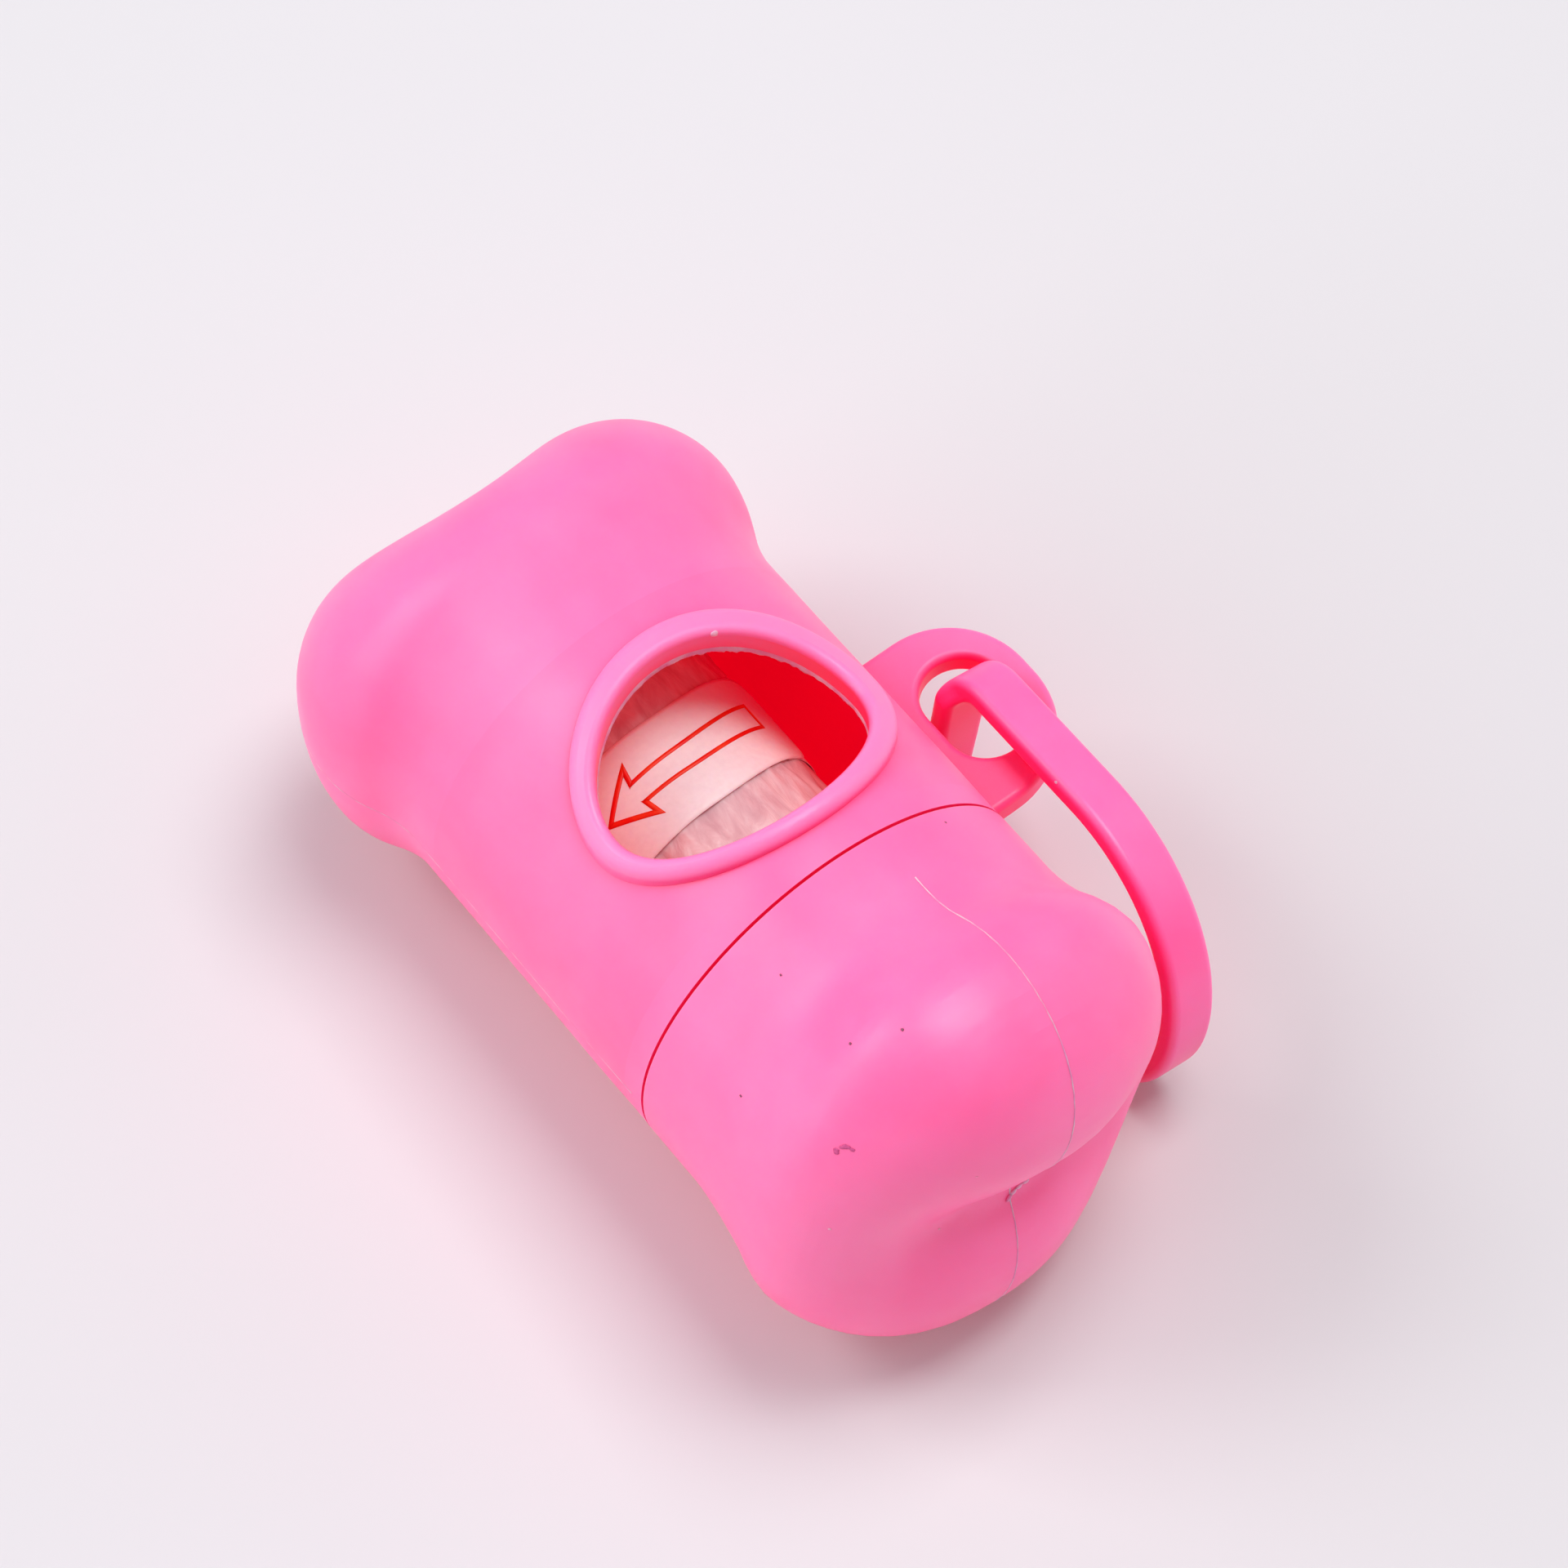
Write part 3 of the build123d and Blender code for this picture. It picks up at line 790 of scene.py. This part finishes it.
def makeBurr():
    verts, faces = [], []
    for i in range(window["steps"]):
        turn = 2 * math.pi * i / window["steps"]
        reachX = window["near"] if math.cos(turn) > 0 else window["far"]
        edge = Vector((window["middle"][0] + reachX * math.cos(turn),
                       window["middle"][1] + window["half"] * math.sin(turn), 0))
        inward = Vector((-math.cos(turn) / reachX, -math.sin(turn) / window["half"], 0)).normalized()
        edge.z = math.sqrt(window["hollowRadius"] ** 2 - edge.y ** 2)
        jag = noise.noise(edge * 0.9) + 0.7 * noise.noise(edge * 2.7) + 0.5 * noise.noise(edge * 6.1)
        drop = window["down"] * max(0.05, 0.45 + jag)
        lean = window["curl"] * noise.noise(edge * 1.7 + Vector((9, 0, 0)))
        top = edge + Vector((0, 0, window["up"])) - inward * window["sunk"]
        outerTop = top + inward * window["lip"]
        knee = edge + inward * (window["thick"] + window["sunk"])
        tip = edge + inward * (window["tipIn"] + lean) - Vector((0, 0, drop))
        back = edge - inward * window["backIn"] - Vector((0, 0, drop * window["backDrop"]))
        verts += [p * mm for p in (outerTop, knee, tip, back)]
    for i in range(window["steps"]):
        a, b = 4 * i, 4 * ((i + 1) % window["steps"])
        for k in range(3):
            faces.append((a + k, b + k, b + k + 1, a + k + 1))
    return makePiece("window_cut_burr", verts, faces, "shell", flashPvc)


makeBurr()


# specks, nicks and the pinch mark, each where the photograph shows it

marks = {
    "dark": [(1105, 1261), (956, 1194), (1158, 1007), (1041, 1278), (907, 1342)],  # px
    "pale": [(1016, 1505), (1196, 1441), (1150, 1505)],
    "pinch": [(1235, 1466), (1240, 1459), (1247, 1452), (1255, 1446)],
    "rimNick": [(875, 776)],
    "strapSpeck": [(1293, 958)],
    "dimpleShade": [(1035, 1404), (1039, 1405), (1031, 1405), (1024, 1411), (1024, 1408), (1044, 1408)],
    "speckSize": 0.13,  # mm
    "nickSize": 0.3,
    "dimpleShadeSize": 0.22,
}


def blob(verts, faces, place, out, long, sizes, seed):
    ball = bmesh.new()
    bmesh.ops.create_icosphere(ball, subdivisions=2, radius=1)
    side = out.cross(long).normalized()
    along = side.cross(out).normalized()
    first = len(verts)
    for v in ball.verts:
        rough = 1 + 0.3 * noise.noise(v.co * 1.6 + Vector((seed, 0, 0)))
        reach = along * v.co.x * sizes[0] + side * v.co.y * sizes[1] + out * v.co.z * sizes[2]
        verts.append(place + reach * rough)
    for f in ball.faces:
        faces.append([first + v.index for v in f.verts])
    ball.free()


def makeMarks(name, spots, material, skin, body, size):
    verts, faces = [], []
    for i, (px, py) in enumerate(spots):
        place, out = spotOn(skin, px, py)
        if place is None:
            continue
        grain = size * mm * (1 + 0.4 * noise.noise(Vector((i * 3.7, 1, 2))))
        blob(verts, faces, place, out, Vector((1, 0.3, 0.2)), (grain * 1.3, grain, grain * 0.3), i)
    return makePiece(name, verts, faces, body, material)


def markMaterial(name, dark, pale):
    # foreign grains on the plastic, and darker grains that paint the shade in a small dimple: small and dull
    material = newMaterial(name)
    where = addNode(material, "ShaderNodeTexCoord").outputs["Object"]
    tone = addNode(material, "ShaderNodeTexNoise", values={"Scale": repeatOf(0.2)}, links={"Vector": where})
    colour = addNode(material, "ShaderNodeValToRGB", links={"Fac": tone.outputs["Fac"]},
                     stops=[(0.3, dark), (0.7, pale)])
    shader = addNode(material, "ShaderNodeBsdfPrincipled", values={"Roughness": 0.6},
                     links={"Base Color": colour.outputs["Color"]})
    addNode(material, "ShaderNodeOutputMaterial", links={"Surface": shader.outputs["BSDF"]})
    return material


makeMarks("cap_dark_specks", marks["dark"], markMaterial("scorchedPvcSpeck", "#7a3a55", "#a8527a"),
          "end_cap", "cap", marks["speckSize"])
# painted shade: darker pink grains in the small dimple on the cap
makeMarks("cap_dimple_shade", marks["dimpleShade"], markMaterial("dimpleShadePvc", "#d8468c", "#ee62a2"),
          "end_cap", "cap", marks["dimpleShadeSize"])
makeMarks("cap_pale_specks", marks["pale"], flashPvc, "end_cap", "cap", marks["speckSize"])
makeMarks("rim_nick", marks["rimNick"], flashPvc, "body_shell", "shell", marks["nickSize"])
makeMarks("strap_pale_speck", marks["strapSpeck"], flashPvc, "carry_strap", "strap", marks["speckSize"])


def makePinch():
    verts, faces = [], []
    spots = [spotOn("end_cap", px, py) for px, py in marks["pinch"]]
    for i, (place, out) in enumerate(spots):
        ahead = spots[min(i + 1, len(spots) - 1)][0] - spots[max(i - 1, 0)][0]
        blob(verts, faces, place + out * 0.05 * mm, out, ahead, (0.42 * mm, 0.16 * mm, 0.2 * mm), i)
    return makePiece("cap_pinch_mark", verts, faces, "cap", flashPvc)


makePinch()
print("marks are placed")


# table, lamps and backdrop

studio = {
    "tableSize": 3.0,  # m
    "tableGrid": 24,
    "tableGap": 0.02 * mm,
    "leanTries": 8,
    "aim": (-0.01, 0, 0),
    "lamps": {  # place in m, size in m, watts
        "overheadSoftbox": ((0.03, 0.3, 1.05), 0.5, 5.9),
        "farSoftbox": ((-0.52, -0.46, 0.86), 0.45, 3.2),
        "leftSoftbox": ((-0.38, -0.93, 0.44), 0.8, 3.2),
        "rightSoftbox": ((0.3, 0.9, 0.35), 0.8, 1.6),
    },
    "skyColour": "#f4f4fa",
    "skyStrength": 0.3,
}


def makeTable():
    # the part rests on the two lobes of the holder and the lower lobe of the cap
    shellPoints = [v.co for v in nodes["body_shell"].data.vertices]
    capPoints = [v.co for v in nodes["end_cap"].data.vertices]
    slope = 0
    for _ in range(studio["leanTries"]):
        low = min(shellPoints, key=lambda p: p.z - slope * p.x)
        capLow = min(capPoints, key=lambda p: p.z - slope * p.x)
        slope = (capLow.z - low.z) / (capLow.x - low.x)
    half = studio["tableSize"] / 2
    grid = studio["tableGrid"]
    verts = [(mix(-half, half, i / grid), mix(-half, half, j / grid), 0)
             for i in range(grid + 1) for j in range(grid + 1)]
    row = grid + 1
    faces = [(i * row + j, (i + 1) * row + j, (i + 1) * row + j + 1, i * row + j + 1)
             for i in range(grid) for j in range(grid)]
    mesh = bpy.data.meshes.new("table")
    mesh.from_pydata(verts, [], faces)
    mesh.materials.append(tableBoard())
    table = bpy.data.objects.new("table", mesh)
    table.location = (0, 0, low.z - slope * low.x - studio["tableGap"])
    table.rotation_euler = (0, -math.atan(slope), 0)
    bpy.context.scene.collection.objects.link(table)
    return slope


def makeLamp(name, place, size, watts, aim):
    data = bpy.data.lights.new(name, "AREA")
    data.shape = "SQUARE"
    data.size = size
    data.energy = watts
    lamp = bpy.data.objects.new(name, data)
    lamp.location = place
    lamp.rotation_euler = (Vector(aim) - Vector(place)).to_track_quat("-Z", "Y").to_euler()
    bpy.context.scene.collection.objects.link(lamp)


def makeSky():
    world = bpy.data.worlds.new("paleSky")
    world.use_nodes = True
    bpy.context.scene.world = world
    world.node_tree.nodes["Background"].inputs["Color"].default_value = hexColour(studio["skyColour"])
    world.node_tree.nodes["Background"].inputs["Strength"].default_value = studio["skyStrength"]


slope = makeTable()
for lampName, (place, size, watts) in studio["lamps"].items():
    makeLamp(lampName, place, size, watts, studio["aim"])
makeSky()
bpy.context.scene.view_settings.view_transform = "Standard"
print("table leans", round(math.degrees(math.atan(slope)), 2), "degrees to the part's frame")
